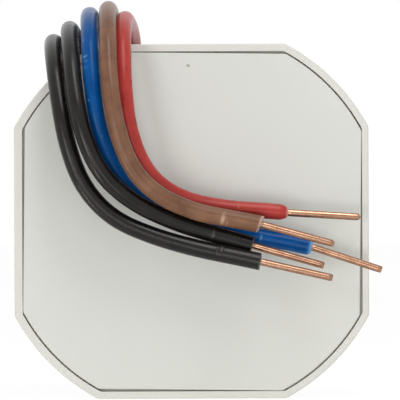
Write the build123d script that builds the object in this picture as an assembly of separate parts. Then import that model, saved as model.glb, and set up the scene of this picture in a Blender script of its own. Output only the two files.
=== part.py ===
from build123d import *
from math import atan, degrees, hypot, pi, radians, tan
import os

# Flush impulse relay for a round wall box: a flat square case whose corners lie on one circle, a
# snap-in cover, a circuit board with a power relay, and five solid-core leads.
# Sizes are in millimetres. X runs right across the face with the cover, Z runs up, and Y runs from
# the cover towards the face that the leads come out of. The case stands on its bottom edge, with
# the origin under its middle.

# Case and cover
case_side = 49.0
flat_half_length = 13.0
corner_blend = 1.0
wall_thickness = 1.8
rim_thickness = 1.0
front_wall = 1.5
front_edge_round = 0.8
rear_edge_round = 0.2
cover_thickness = 1.3
cover_gap = 0.2
cover_twist_share = 0.9
recess_shift = 0.1

# Snap hooks of the cover
hook_width = 5.0
hook_thickness = 0.9
hook_length = 4.8
hook_gap = 0.2
barb_length = 1.2
barb_height = 0.45
pocket_gap = 0.3
hook_side_play = 0.7

# Circuit board and what holds it
board_thickness = 1.2
board_gap = 0.3
pin_space = 1.4
pin_reach = 1.0
solder_cap = 0.15
solder_spread = 0.5
solder_tip = 0.12
hole_gap = 0.1
rib_width = 2.4
rib_reach = 1.5
post_radius = 1.0
post_inset = 3.0

# Rating label
label_width = 34.0
label_height = 20.0
label_thickness = 0.12
label_recess = 0.2
label_gap = 0.3
label_corner = 1.5
label_centre_height = 15.0

# Leads
lead_diameter = 2.4
conductor_diameter = 0.98
conductor_gap = 0.05
lead_pitch = 2.55
lead_row_inset = 11.9
exit_height = 30.5
exit_gap = 0.15
bare_length = 10.0
bare_bend_radius = 2.0
bend_share = 0.45
seal_length = 1.8
seal_border = 0.7
seal_gap = 0.02

# Power relay: outside
relay_length = 29.0
relay_width = 12.7
relay_height = 15.2
relay_headroom = 0.4
relay_edge = 5.0
relay_wall = 0.6
relay_corner = 0.4
relay_base_low = 0.3
relay_base_thickness = 1.7

# Power relay: magnet
armature_room = 2.7
armature_thickness = 1.0
armature_width = 8.4
armature_lift = 0.2
tongue_width = 3.0
spring_thickness = 0.15
spring_width = 4.0
spring_height = 6.0
anti_stick = 0.05
pole_gap = 0.5
core_radius = 1.6
core_gap = 0.1
rivet_gap = 0.01
pole_radius = 2.6
pole_thickness = 0.6
barrel_wall = 0.6
flange_size = 9.4
flange_thickness = 0.7
winding_depth = 2.0
winding_gap = 0.02
yoke_thickness = 1.2
yoke_gap = 0.4

# Power relay: card and contacts
card_gap = 0.1
card_thickness = 1.1
card_width = 4.0
card_play = 0.08
leaf_room = 5.5
contact_room = 5.95
leaf_thickness = 0.25
leaf_width = 4.0
leaf_clearance = 0.05
terminal_rise = 1.0
terminal_thickness = 0.4
terminal_half_span = 1.5
contact_radius = 1.3
contact_head = 0.5
rivet_radius = 0.6
rivet_upset = 0.2
upset_radius = 0.9
contact_drop = 2.6
contact_clearance = 0.03
contact_pin_width = 1.0
contact_pin_offset = 3.4
coil_pin_side = 0.6
coil_pin_gap = 0.35
coil_pin_rise = 2.0

# Other parts on the board
wire_radius = 0.3
film_length = 13.0
film_width = 7.0
film_height = 12.0
film_pitch = 10.0
film_place = 5.5
film_edge = 5.0
film_round = 0.6
can_radius = 4.0
can_height = 11.5
can_pitch = 3.5
can_groove = 0.35
bung_height = 1.2
bridge_length = 8.3
bridge_width = 6.3
bridge_height = 3.3
bridge_pitch = 5.1
bridge_lift = 0.5
resistor_radius = 1.6
resistor_length = 9.0
resistor_edge = 3.2
resistor_waist = 0.12
bead_share = 0.2
varistor_radius = 3.5
varistor_thickness = 3.8
varistor_pitch = 5.0
varistor_place = -8.0
varistor_edge = 6.5
varistor_lift = 1.0
transistor_width = 4.8
transistor_depth = 3.8
transistor_height = 4.8
transistor_pitch = 1.27
transistor_place = -9.0
transistor_lift = 2.0
transistor_offset = 4.4
diode_radius = 1.0
diode_length = 4.2
diode_edge = 6.0
diode_drop = 14.6
axial_lift = 0.3
axial_end = 1.2
chip_body_width = 3.9
chip_body_length = 4.9
chip_body_height = 1.45
chip_leg_pitch = 1.27
chip_leg_width = 0.42
chip_leg_reach = 1.05
chip_leg_thickness = 0.2
chip_leg_count = 4
chip_edge = 6.4
chip_offset = 3.9
chip_lift = 0.12
chip_leg_level = 0.75
small_length = 2.0
small_width = 1.25
resistor_chip_height = 0.5
capacitor_chip_height = 0.85
small_cap = 0.35
small_pitch = 3.5
small_row = 3.0
small_gap = 1.7
small_count = 4

# Levels through the depth, from the outside of the cover to the outside of the front wall
case_depth = (cover_thickness + pin_space + board_thickness + relay_height + relay_headroom
              + front_wall)
rear = -case_depth / 2
front = case_depth / 2
cover_inside = rear + cover_thickness
board_rear = cover_inside + pin_space
board_front = board_rear + board_thickness
front_inside = front - front_wall
pin_end = board_rear - pin_reach

# Outlines: half the width across the flats, and the radius of the circle that the corners follow
case_half = case_side / 2
case_circle = hypot(case_half, flat_half_length)
inner_half = case_half - wall_thickness
inner_circle = case_circle - wall_thickness
recess_half = case_half - rim_thickness
recess_circle = case_circle - rim_thickness
cover_half = recess_half - cover_gap
cover_circle = recess_circle - cover_gap
board_half = inner_half - board_gap
board_circle = inner_circle - board_gap
middle = case_side / 2
cover_twist = degrees(cover_twist_share * cover_gap / flat_half_length)

lead_radius = lead_diameter / 2
conductor_radius = conductor_diameter / 2
bore_radius = conductor_radius + conductor_gap
lead_row_centre = lead_row_inset - case_half

# The leads as they lie: up from the exit, over the top edge and down in front of the cover. The
# first two points follow from the exit, and these are the others, in the order of the row.
lead_stand_off = {"black_1": 5.6, "black_2": 5.9, "blue": 6.2, "brown": 6.2, "red": 6.1}
lead_routes = {
    "black_1": [
        (-17.8, 20.6, 34.4), (-18.1, 21.4, 40.4), (-18.5, 18.0, 45.8), (-18.9, 11.1, 49.0),
        (-19.2, 2.8, 49.8), (-19.3, -5.6, 49.5), (-18.8, -13.4, 46.4), (-18.0, -17.5, 40.8),
        (-16.9, -18.3, 34.8), (-14.8, -17.7, 29.2), (-10.8, -17.2, 24.9), (-5.0, -17.1, 22.4),
        (1.1, -17.2, 20.7), (6.1, -17.3, 19.7), (9.5, -17.3, 18.94)],
    "black_2": [
        (-15.3, 21.0, 34.6), (-15.6, 21.8, 41.0), (-16.0, 18.6, 46.9), (-16.5, 11.8, 50.4),
        (-16.9, 3.2, 51.5), (-17.0, -5.8, 51.4), (-16.5, -14.2, 48.2), (-15.9, -18.9, 42.2),
        (-14.7, -20.0, 36.1), (-12.2, -19.4, 30.8), (-8.0, -18.4, 27.1), (-2.6, -17.1, 24.5),
        (3.3, -16.2, 22.6), (8.5, -15.75, 21.12)],
    "blue": [
        (-12.7, 21.3, 34.9), (-13.0, 22.1, 41.7), (-13.4, 19.2, 48.2), (-13.8, 12.4, 52.3),
        (-14.1, 3.4, 53.5), (-14.2, -6.1, 53.3), (-13.9, -14.0, 50.1), (-13.6, -17.6, 43.8),
        (-12.7, -18.0, 37.1), (-10.5, -16.8, 31.5), (-6.8, -15.3, 27.4), (-1.2, -14.2, 24.7),
        (4.6, -13.7, 23.4), (10.0, -13.7, 22.2), (13.6, -13.7, 21.56), (16.6, -13.7, 20.88)],
    "brown": [
        (-10.2, 21.3, 35.0), (-10.5, 22.1, 41.8), (-10.9, 19.1, 48.5), (-11.3, 12.3, 52.9),
        (-11.4, 3.3, 54.2), (-11.6, -6.3, 54.2), (-11.4, -15.0, 51.0), (-11.2, -19.6, 44.3),
        (-10.3, -20.6, 37.7), (-8.4, -19.9, 32.1), (-5.0, -18.9, 28.3), (0.1, -18.1, 25.9),
        (4.0, -17.6, 25.1), (6.8, -17.3, 24.6), (9.8, -17.1, 23.99)],
    "red": [
        (-7.7, 21.2, 34.7), (-7.9, 22.0, 41.2), (-8.2, 18.9, 47.4), (-8.5, 12.1, 51.4),
        (-8.9, 3.2, 52.5), (-9.3, -6.1, 52.9), (-9.4, -14.0, 50.0), (-9.3, -17.5, 43.6),
        (-8.6, -17.7, 36.9), (-6.3, -16.6, 31.2), (-2.3, -15.3, 27.9), (3.0, -14.5, 26.4),
        (9.2, -14.3, 26.02), (13.25, -14.3, 25.64)],
}
lead_names = list(lead_routes)
# The bare ends bend a little where the insulation stops. Their heading is in degrees: how far down
# they slope, and how far they lean towards the cover.
bare_slope = {"black_1": 12.9, "black_2": 15.9, "blue": 18.3, "brown": 15.2, "red": 3.7}
bare_lean = {"black_1": 2.2, "black_2": 1.5, "blue": 0.0, "brown": 2.0, "red": 2.0}


def lead_place(name):
    """Where a lead leaves the case along the row."""
    return lead_row_centre + (lead_names.index(name) - (len(lead_names) - 1) / 2) * lead_pitch


# Basic shapes


def block(x_low, x_high, y_low, y_high, z_low, z_high):
    """A box between two corners."""
    centre = Pos((x_low + x_high) / 2, (y_low + y_high) / 2, (z_low + z_high) / 2)
    return centre * Box(x_high - x_low, y_high - y_low, z_high - z_low)


def rod(axis, first, second, radius, low, high):
    """A round rod along X, Y or Z. first and second place it on the other two axes, in order."""
    between = (low + high) / 2
    turned = Cylinder(radius, high - low)
    if axis == "X":
        return Pos(between, first, second) * Rot(0, 90, 0) * turned
    if axis == "Y":
        return Pos(first, between, second) * Rot(90, 0, 0) * turned
    return Pos(first, second, between) * turned


def outline(half, circle):
    """The case's outline: a square whose corners are cut by one circle, drawn about the middle."""
    shape = Rectangle(2 * half, 2 * half) & Circle(circle)
    return fillet(shape.vertices(), corner_blend)


def plate(drawing, y_low, y_high, across=0.0, up=0.0):
    """Carry a drawing in X and Z from one depth to another."""
    placed = Pos(across, y_low, up) * Rot(90, 0, 0) * drawing
    return extrude(placed, amount=y_high - y_low, dir=(0, 1, 0))


def about_middle(shape, angle):
    """Turn a shape about the line through the middle of the case, seen clockwise from the cover."""
    return Pos(0, 0, middle) * Rot(0, angle, 0) * Pos(0, 0, -middle) * shape


# Case, cover and label


def corner_rib():
    """A rib in the case's corner that the circuit board rests on."""
    shape = block(inner_circle - rib_reach, inner_circle + wall_thickness / 2,
                  board_front, front - front_wall / 2, middle - rib_width / 2, middle + rib_width / 2)
    return about_middle(shape, 45)


def hook_pocket():
    """The undercut in the side wall that a snap hook's barb springs into."""
    barb_end = cover_inside + hook_length
    half = hook_width / 2 + hook_side_play
    return block(inner_half - pocket_gap, inner_half - hook_gap + barb_height + pocket_gap,
                 barb_end - barb_length - pocket_gap, barb_end + pocket_gap, middle - half, middle + half)


def lead_openings(radius, y_low, y_high):
    """Five round holes for the leads, so close that they run into each other."""
    return [rod("Y", lead_place(name), exit_height, radius, y_low, y_high) for name in lead_names]


def label_drawing(gap):
    """The label's outline, widened by a gap for its recess."""
    return RectangleRounded(label_width + 2 * gap, label_height + 2 * gap, label_corner + gap)


def case():
    body = plate(outline(case_half, case_circle), rear, front, up=middle)
    body = fillet(body.faces().sort_by(Axis.Y)[-1].edges(), front_edge_round)
    body = fillet(body.faces().sort_by(Axis.Y)[0].edges(), rear_edge_round)
    body -= plate(outline(inner_half, inner_circle), cover_inside, front_inside, up=middle)
    body -= plate(outline(recess_half, recess_circle), rear, cover_inside, recess_shift, middle)
    for quarter in range(4):
        body += about_middle(corner_rib(), 90 * quarter)
        body -= about_middle(hook_pocket(), 90 * quarter)
    for opening in lead_openings(lead_radius + exit_gap, front_inside, front):
        body -= opening
    return body - plate(label_drawing(label_gap), front - label_recess, front, up=label_centre_height)


def snap_hook():
    """One hook on the right side of the cover, with its barb pointing outwards."""
    outer = inner_half - hook_gap
    tip = cover_inside + hook_length
    arm = block(outer - hook_thickness, outer, cover_inside, tip,
                middle - hook_width / 2, middle + hook_width / 2)
    with BuildSketch() as barb:
        with BuildLine():
            Polyline((outer, tip - barb_length), (outer + barb_height, tip - barb_length),
                     (outer, tip), close=True)
        make_face()
    return arm + Pos(0, 0, middle - hook_width / 2) * extrude(barb.sketch, amount=hook_width)


def rear_cover():
    cover = plate(outline(cover_half, cover_circle), rear, cover_inside, up=middle)
    cover = fillet(cover.faces().sort_by(Axis.Y)[0].edges(), rear_edge_round)
    post_place = inner_circle - post_inset
    post = about_middle(rod("Y", post_place, middle, post_radius, cover_inside, board_rear), 45)
    for quarter in range(4):
        cover += about_middle(snap_hook(), 90 * quarter)
        cover += about_middle(post, 90 * quarter)
    return Pos(recess_shift, 0, 0) * about_middle(cover, cover_twist)


def rating_label():
    floor = front - label_recess
    return plate(label_drawing(0.0), floor, floor + label_thickness, up=label_centre_height)


# Places of the parts on the board, measured from the edges that they follow

relay_middle = relay_edge + relay_width / 2
film_middle = case_side - film_edge - film_width / 2
row_middle = (relay_edge + relay_width + film_middle - film_width / 2) / 2
resistor_place = board_half - resistor_edge
can_place = (bridge_length / 2 + resistor_place - resistor_radius) / 2
varistor_middle = case_side - varistor_edge
diode_place = board_half - diode_edge
diode_middle = case_side - diode_drop
transistor_middle = row_middle - transistor_offset
chip_place = chip_edge - board_half
chip_middle = row_middle - chip_offset
resistor_pitch = resistor_length + 2 * axial_end
diode_pitch = diode_length + 2 * axial_end


def spread(x, z, pitch_x, pitch_z):
    """Places of two wires about a part, or of four where both pitches are given."""
    sides_x = (-1, 1) if pitch_x else (0,)
    sides_z = (-1, 1) if pitch_z else (0,)
    return [(x + a * pitch_x / 2, z + b * pitch_z / 2) for a in sides_x for b in sides_z]


film_wires = spread(film_place, film_middle, film_pitch, 0)
can_wires = spread(can_place, row_middle, can_pitch, 0)
bridge_wires = spread(0.0, row_middle, bridge_pitch, bridge_pitch)
varistor_wires = spread(varistor_place, varistor_middle, varistor_pitch, 0)
transistor_wires = [(transistor_place + k * transistor_pitch, transistor_middle) for k in (-1, 0, 1)]
resistor_wires = spread(resistor_place, row_middle, 0, resistor_pitch)
diode_wires = spread(diode_place, diode_middle, 0, diode_pitch)

# Relay levels: u runs along the relay from its middle, h up from the board, w across it
base_top = relay_base_low + relay_base_thickness
pivot_u = -relay_length / 2 + relay_wall + armature_room
pivot_h = base_top + armature_lift
coil_h = base_top + yoke_thickness + flange_size / 2
pole_u = pivot_u + anti_stick
bobbin_low = pole_u + pole_thickness
leaf_u = relay_length / 2 - relay_wall - contact_room
yoke_high = leaf_u - leaf_room
bobbin_high = yoke_high - yoke_thickness
card_low = coil_h + flange_size / 2 + card_gap
card_high = card_low + card_thickness
card_middle = (card_low + card_high) / 2
leaf_foot = base_top + terminal_rise + leaf_clearance
contact_h = card_middle - contact_drop
open_angle = atan(pole_gap / (coil_h - pivot_h))
card_travel = (card_middle - pivot_h) * tan(open_angle)
leaf_angle = card_travel / (card_middle - leaf_foot)
contact_gap = (contact_h - leaf_foot + contact_radius) * leaf_angle + contact_clearance
moving_face = leaf_u + leaf_thickness / 2 + contact_head
fixed_face = moving_face + contact_gap
blade_low = fixed_face + contact_head
coil_pin_place = (bobbin_low + bobbin_high) / 2
coil_pin_offset = relay_width / 2 - relay_wall - coil_pin_gap - coil_pin_side / 2
yoke_width = 2 * (coil_pin_offset - coil_pin_side / 2 - yoke_gap)
coil_pins = [(coil_pin_place, -coil_pin_offset), (coil_pin_place, coil_pin_offset)]
contact_pins = [(leaf_u, -contact_pin_offset),
                (blade_low + terminal_thickness / 2, contact_pin_offset)]
small_middle = leaf_u - small_gap - ((small_count - 1) * small_pitch + small_length) / 2


def in_relay(u_low, u_high, h_low, h_high, w_low, w_high):
    """A box given along, above and across the relay."""
    return block(u_low, u_high, board_front + h_low, board_front + h_high,
                 relay_middle + w_low, relay_middle + w_high)


def relay_rod(h, radius, u_low, u_high):
    """A round rod along the relay, on its centre line."""
    return rod("X", board_front + h, relay_middle, radius, u_low, u_high)


def pin_boxes(pins, length_u, length_w, h_low, h_high):
    """Square or flat pins that stand through the relay's base."""
    return [in_relay(u - length_u / 2, u + length_u / 2, h_low, h_high,
                     w - length_w / 2, w + length_w / 2) for u, w in pins]


def relay_cover():
    half_length, half_width = relay_length / 2, relay_width / 2
    shell = in_relay(-half_length, half_length, 0, relay_height, -half_width, half_width)
    shell = fillet(shell.edges().filter_by(Axis.Y) + shell.faces().sort_by(Axis.Y)[-1].edges(),
                   relay_corner)
    return shell - in_relay(-half_length + relay_wall, half_length - relay_wall, 0,
                            relay_height - relay_wall, -half_width + relay_wall, half_width - relay_wall)


def relay_base():
    half_length, half_width = relay_length / 2 - relay_wall, relay_width / 2 - relay_wall
    base = in_relay(-half_length, half_length, relay_base_low, base_top, -half_width, half_width)
    slots = pin_boxes(coil_pins, coil_pin_side, coil_pin_side, relay_base_low, base_top)
    slots += pin_boxes(contact_pins, terminal_thickness, contact_pin_width, relay_base_low, base_top)
    return base - slots


def relay_bobbin():
    outer = core_radius + core_gap + barrel_wall
    half = flange_size / 2
    bobbin = relay_rod(coil_h, outer, bobbin_low, bobbin_high)
    for low in (bobbin_low, bobbin_high - flange_thickness):
        bobbin += in_relay(low, low + flange_thickness, coil_h - half, coil_h + half, -half, half)
    return bobbin - relay_rod(coil_h, core_radius + core_gap, bobbin_low, bobbin_high)


def relay_winding():
    low, high = bobbin_low + flange_thickness, bobbin_high - flange_thickness
    inner = core_radius + core_gap + barrel_wall + winding_gap
    return relay_rod(coil_h, inner + winding_depth, low, high) - relay_rod(coil_h, inner, low, high)


def relay_core():
    return (relay_rod(coil_h, core_radius, pole_u, yoke_high)
            + relay_rod(coil_h, pole_radius, pole_u, bobbin_low))


def relay_yoke():
    half = yoke_width / 2
    leg = in_relay(pole_u, yoke_high, base_top, base_top + yoke_thickness, -half, half)
    upright = in_relay(bobbin_high, yoke_high, base_top, coil_h + flange_size / 2, -half, half)
    return leg + upright - relay_rod(coil_h, core_radius + rivet_gap, bobbin_high, yoke_high)


def opened(shape):
    """Turn the armature and its spring from the closed place to the open one."""
    pivot = Axis((pivot_u, board_front + pivot_h, relay_middle), (0, 0, 1))
    return shape.rotate(pivot, degrees(open_angle))


def relay_armature():
    half = armature_width / 2
    inner, outer = pivot_u, pivot_u - armature_thickness
    armature = in_relay(outer, inner, pivot_h, card_low - card_gap, -half, half)
    armature += in_relay(outer, inner, pivot_h, card_high, -tongue_width / 2, tongue_width / 2)
    return opened(armature)


def armature_spring():
    outer = pivot_u - armature_thickness
    return opened(in_relay(outer - spring_thickness, outer, pivot_h + armature_lift,
                           pivot_h + spring_height, -spring_width / 2, spring_width / 2))


def actuator_card():
    left = pivot_u - (card_low - pivot_h) * tan(open_angle) + card_play
    right = leaf_u - leaf_thickness / 2 - card_play
    return in_relay(left, right, card_low, card_high, -card_width / 2, card_width / 2)


def contact_leaf():
    leaf = in_relay(leaf_u - leaf_thickness / 2, leaf_u + leaf_thickness / 2, leaf_foot,
                    card_high + card_gap, -leaf_width / 2, leaf_width / 2)
    return leaf - relay_rod(contact_h, rivet_radius + rivet_gap, leaf_u - leaf_thickness,
                            leaf_u + leaf_thickness)


def contact_rivet(back, face, upset_side):
    """A contact rivet through a strip: head against one side, upset end on the other."""
    outward = 1 if face > back else -1
    root = face - outward * contact_head
    ends = sorted((root, face))
    rivet = relay_rod(contact_h, contact_radius, *ends)
    rivet += relay_rod(contact_h, rivet_radius, *sorted((back, root)))
    return rivet + relay_rod(contact_h, upset_radius, *sorted((back, back + upset_side * rivet_upset)))


def moving_contact_rivet():
    return contact_rivet(leaf_u - leaf_thickness / 2, moving_face, -1)


def fixed_contact_rivet():
    return contact_rivet(blade_low + terminal_thickness, fixed_face, 1)


def moving_contact_terminal():
    low, high = leaf_u - terminal_thickness / 2, leaf_u + terminal_thickness / 2
    side = contact_pin_offset + contact_pin_width / 2
    foot = in_relay(low, high, base_top, base_top + terminal_rise, -side, terminal_half_span)
    pin = pin_boxes(contact_pins[:1], terminal_thickness, contact_pin_width, pin_end - board_front,
                    base_top)
    return foot + pin


def fixed_contact_terminal():
    side = contact_pin_offset + contact_pin_width / 2
    blade = in_relay(blade_low, blade_low + terminal_thickness, base_top, card_middle,
                     -terminal_half_span, side)
    blade -= relay_rod(contact_h, rivet_radius + rivet_gap, blade_low, blade_low + terminal_thickness)
    return blade + pin_boxes(contact_pins[1:], terminal_thickness, contact_pin_width,
                             pin_end - board_front, base_top)


def coil_terminals():
    return pin_boxes(coil_pins, coil_pin_side, coil_pin_side, pin_end - board_front,
                     base_top + coil_pin_rise)


# Capacitors, resistor and semiconductors


def film_capacitor():
    half_length, half_width = film_length / 2, film_width / 2
    body = block(film_place - half_length, film_place + half_length, board_front,
                 board_front + film_height, film_middle - half_width, film_middle + half_width)
    return fillet(body.edges().filter_by(Axis.Y) + body.faces().sort_by(Axis.Y)[-1].edges(), film_round)


def electrolytic_can():
    top = board_front + can_height
    can = rod("Y", can_place, row_middle, can_radius, board_front, top)
    can = fillet(can.faces().sort_by(Axis.Y)[-1].edges(), can_groove)
    ring_low, ring_high = board_front + bung_height, board_front + bung_height + 2 * can_groove
    ring = rod("Y", can_place, row_middle, can_radius, ring_low, ring_high)
    ring -= rod("Y", can_place, row_middle, can_radius - can_groove, ring_low, ring_high)
    return can - ring - rod("Y", can_place, row_middle, can_radius - 2 * can_groove, board_front,
                            board_front + bung_height)


def electrolytic_bung():
    return rod("Y", can_place, row_middle, can_radius - 2 * can_groove, board_front,
               board_front + bung_height) - wire_holes(can_wires, board_front, board_front + bung_height)


def wire_holes(places, y_low, y_high):
    """Holes with a little play for round wires."""
    return [rod("Y", x, z, wire_radius + rivet_gap, y_low, y_high) for x, z in places]


def bridge_rectifier():
    low = board_front + bridge_lift
    return block(-bridge_length / 2, bridge_length / 2, low, low + bridge_height,
                 row_middle - bridge_width / 2, row_middle + bridge_width / 2)


def axial_body(x, z, radius, length, waist):
    """A lying body, with its two end beads a little thicker than its waist."""
    y = board_front + axial_lift + radius
    low, high, bead = z - length / 2, z + length / 2, length * bead_share
    body = rod("Z", x, y, radius - waist, low, high)
    for bead_low in (low, high - bead):
        body += rod("Z", x, y, radius, bead_low, bead_low + bead)
    return body


def fusible_resistor():
    return axial_body(resistor_place, row_middle, resistor_radius, resistor_length,
                      resistor_waist)


def zener_diode():
    return axial_body(diode_place, diode_middle, diode_radius, diode_length, 0.0)


def varistor():
    centre = board_front + varistor_lift + varistor_radius
    disc = rod("Z", varistor_place, centre, varistor_radius, varistor_middle - varistor_thickness / 2,
               varistor_middle + varistor_thickness / 2)
    return fillet(disc.edges(), varistor_thickness / 4) - wire_holes(varistor_wires, board_front, centre)


def driver_transistor():
    low = board_front + transistor_lift
    drawing = Circle(transistor_width / 2) & (Pos(0, (transistor_depth - transistor_width) / 2)
                                              * Rectangle(transistor_width, transistor_depth))
    return plate(drawing, low, low + transistor_height, transistor_place, transistor_middle)


def axial_wires(x, middle_z, radius, length, places):
    """The two wires of a lying part: out of its ends, then down through the board."""
    y = board_front + axial_lift + radius
    wires = []
    for place, side in zip(places, (-1, 1)):
        path = FilletPolyline((x, y, middle_z + side * length / 2), (x, y, place[1]),
                              (x, pin_end, place[1]), radius=2 * wire_radius)
        start = Plane(path @ 0, z_dir=path % 0)
        wires.append(sweep(start * Circle(wire_radius), path=path))
    return wires


def component_wires():
    tops = [(film_wires, board_front), (can_wires, board_front + bung_height),
            (bridge_wires, board_front + bridge_lift), (transistor_wires, board_front + transistor_lift),
            (varistor_wires, board_front + varistor_lift + varistor_radius)]
    wires = [rod("Y", x, z, wire_radius, pin_end, top) for places, top in tops for x, z in places]
    wires += axial_wires(resistor_place, row_middle, resistor_radius, resistor_length, resistor_wires)
    wires += axial_wires(diode_place, diode_middle, diode_radius, diode_length, diode_wires)
    return wires


def microcontroller():
    low = board_front + chip_lift
    return block(chip_place - chip_body_width / 2, chip_place + chip_body_width / 2, low,
                 low + chip_body_height, chip_middle - chip_body_length / 2,
                 chip_middle + chip_body_length / 2)


def gull_wing_leg(side, z):
    """One leg of the chip: a shoulder out of the body, a riser, and a foot on the board."""
    body, tip = chip_body_width / 2, chip_body_width / 2 + chip_leg_reach
    bend = body + chip_leg_reach / 2
    shoulder_top = chip_leg_level + chip_leg_thickness
    drawing = Pos((body + bend) / 2, shoulder_top - chip_leg_thickness / 2) * Rectangle(
        bend - body, chip_leg_thickness)
    drawing += Pos(bend - chip_leg_thickness / 2, shoulder_top / 2) * Rectangle(
        chip_leg_thickness, shoulder_top)
    drawing += Pos((bend - chip_leg_thickness + tip) / 2, chip_leg_thickness / 2) * Rectangle(
        tip - bend + chip_leg_thickness, chip_leg_thickness)
    leg = Pos(0, 0, -chip_leg_width / 2) * extrude(drawing, amount=chip_leg_width)
    return Pos(chip_place, board_front, z) * Rot(0, 0 if side > 0 else 180, 0) * leg


def microcontroller_legs():
    """Four legs on each side of the chip."""
    return [gull_wing_leg(side, chip_middle + (k - (chip_leg_count - 1) / 2) * chip_leg_pitch)
            for side in (-1, 1) for k in range(chip_leg_count)]


def small_chips(row, height, end_caps):
    """A row of small soldered chips behind the relay: their bodies, or the metal caps at their ends."""
    parts = []
    z = relay_middle + row * small_row
    body = small_length / 2 - small_cap
    spans = ((-small_length / 2, -body), (body, small_length / 2)) if end_caps else ((-body, body),)
    for k in range(small_count):
        x = small_middle + (k - (small_count - 1) / 2) * small_pitch
        parts += [block(x + low, x + high, board_rear - height, board_rear,
                        z - small_width / 2, z + small_width / 2) for low, high in spans]
    return parts


def chip_end_caps():
    return (small_chips(1, resistor_chip_height, True) + small_chips(-1, capacitor_chip_height, True))


# Circuit board and solder


def round_pins():
    """Place and radius of everything round that is soldered through the board."""
    groups = (film_wires, can_wires, bridge_wires, varistor_wires, transistor_wires, resistor_wires,
              diode_wires)
    pins = [(x, z, wire_radius) for places in groups for x, z in places]
    return pins + [(lead_place(name), exit_height, conductor_radius) for name in lead_names]


def flat_pins():
    """Place and half widths of the relay's pins."""
    pins = [(u, relay_middle + w, coil_pin_side / 2, coil_pin_side / 2) for u, w in coil_pins]
    return pins + [(u, relay_middle + w, terminal_thickness / 2, contact_pin_width / 2)
                   for u, w in contact_pins]


def circuit_board():
    board = plate(outline(board_half, board_circle), board_rear, board_front, up=middle)
    inner = inner_half - hook_gap - hook_thickness - hook_side_play / 2 - recess_shift
    half = hook_width / 2 + hook_side_play
    for quarter in range(4):
        notch = block(inner, case_half, board_rear, board_front, middle - half, middle + half)
        board -= about_middle(notch, 90 * quarter)
    board -= [rod("Y", x, z, radius + hole_gap, board_rear, board_front) for x, z, radius in round_pins()]
    board -= [block(x - a - hole_gap, x + a + hole_gap, board_rear, board_front,
                    z - b - hole_gap, z + b + hole_gap) for x, z, a, b in flat_pins()]
    return board


def solder_cone(x, z, radius):
    """A cone of solder on the back of the board, wetted up to the end of its pin."""
    cone = Cone(radius + solder_spread, radius + solder_tip, pin_reach + solder_cap)
    centre = board_rear - (pin_reach + solder_cap) / 2
    return Pos(x, centre, z) * Rot(90, 0, 0) * cone


def solder_joints():
    joints = [solder_cone(x, z, radius) - rod("Y", x, z, radius, pin_end, board_rear)
              for x, z, radius in round_pins()]
    joints += [solder_cone(x, z, max(a, b)) - block(x - a, x + a, pin_end, board_rear, z - b, z + b)
               for x, z, a, b in flat_pins()]
    return joints


# Leads


def lead_seal():
    """The bead of sealant behind the front wall that holds the five leads."""
    reach = (len(lead_names) - 1) / 2 * lead_pitch + lead_radius + seal_border
    bead = block(lead_row_centre - reach, lead_row_centre + reach, front_inside - seal_length,
                 front_inside, exit_height - lead_radius - seal_border,
                 exit_height + lead_radius + seal_border)
    return bead - lead_openings(lead_radius + seal_gap, front_inside - seal_length, front_inside)


def lead_points(name):
    """The points of a lead's free stretch, from the outside of the front wall to the stripped end."""
    x = lead_place(name)
    return [(x, front, exit_height), (x, front + lead_stand_off[name], exit_height)] + lead_routes[name]


def bend_radii(points):
    """For each corner, the largest arc that both runs beside it leave room for."""
    radii = []
    for before, corner, after in zip(points, points[1:], points[2:]):
        arriving, leaving = Vector(*corner) - Vector(*before), Vector(*after) - Vector(*corner)
        turn = radians(arriving.get_angle(leaving))
        radii.append(bend_share * min(arriving.length, leaving.length) / tan(turn / 2))
    return radii


def swept(path, radius):
    """A round bar of constant radius along a path."""
    return sweep(Plane(path @ 0, z_dir=path % 0) * Circle(radius), path=path)


def lead_sleeve(name):
    """The coloured insulation outside the case."""
    points = lead_points(name)
    radii = bend_radii(points)
    path = FilletPolyline(*points, radius=radii)
    sleeve = swept(path, lead_radius) - swept(path, bore_radius)
    section = pi * (lead_radius ** 2 - bore_radius ** 2)
    print(f"lead_{name}: {path.length:.2f} mm long, volume {sleeve.volume:.3f} of"
          f" {section * path.length:.3f} mm3, radii {[round(radius, 1) for radius in radii]}")
    return sleeve


def lead_root(name):
    """The same insulation inside the case, from the board to the outside of the front wall."""
    x = lead_place(name)
    return (rod("Y", x, exit_height, lead_radius, board_front, front)
            - rod("Y", x, exit_height, bore_radius, board_front, front))


def conductor(name):
    """The solid copper core, from its solder joint through the whole lead to the stripped tip."""
    points = lead_points(name)
    heading = Vector(1, 0, 0).rotate(Axis.Z, bare_lean[name]).rotate(Axis.Y, bare_slope[name])
    tip = Vector(*points[-1]) + heading * bare_length
    start = (points[0][0], pin_end, exit_height)
    path = FilletPolyline(start, *points[1:], tuple(tip), radius=bend_radii(points) + [bare_bend_radius])
    print(f"conductor_{name}: heading {tuple(round(part, 6) for part in heading)}")
    return swept(path, conductor_radius)


def write(name, shape):
    """Save one node, whose shape is a solid or a list of separate solids."""
    if isinstance(shape, (list, tuple)):
        shape = Compound(children=[solid for part in shape for solid in part.solids()])
    export_step(shape, f"parts/{name}.step")


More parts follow.
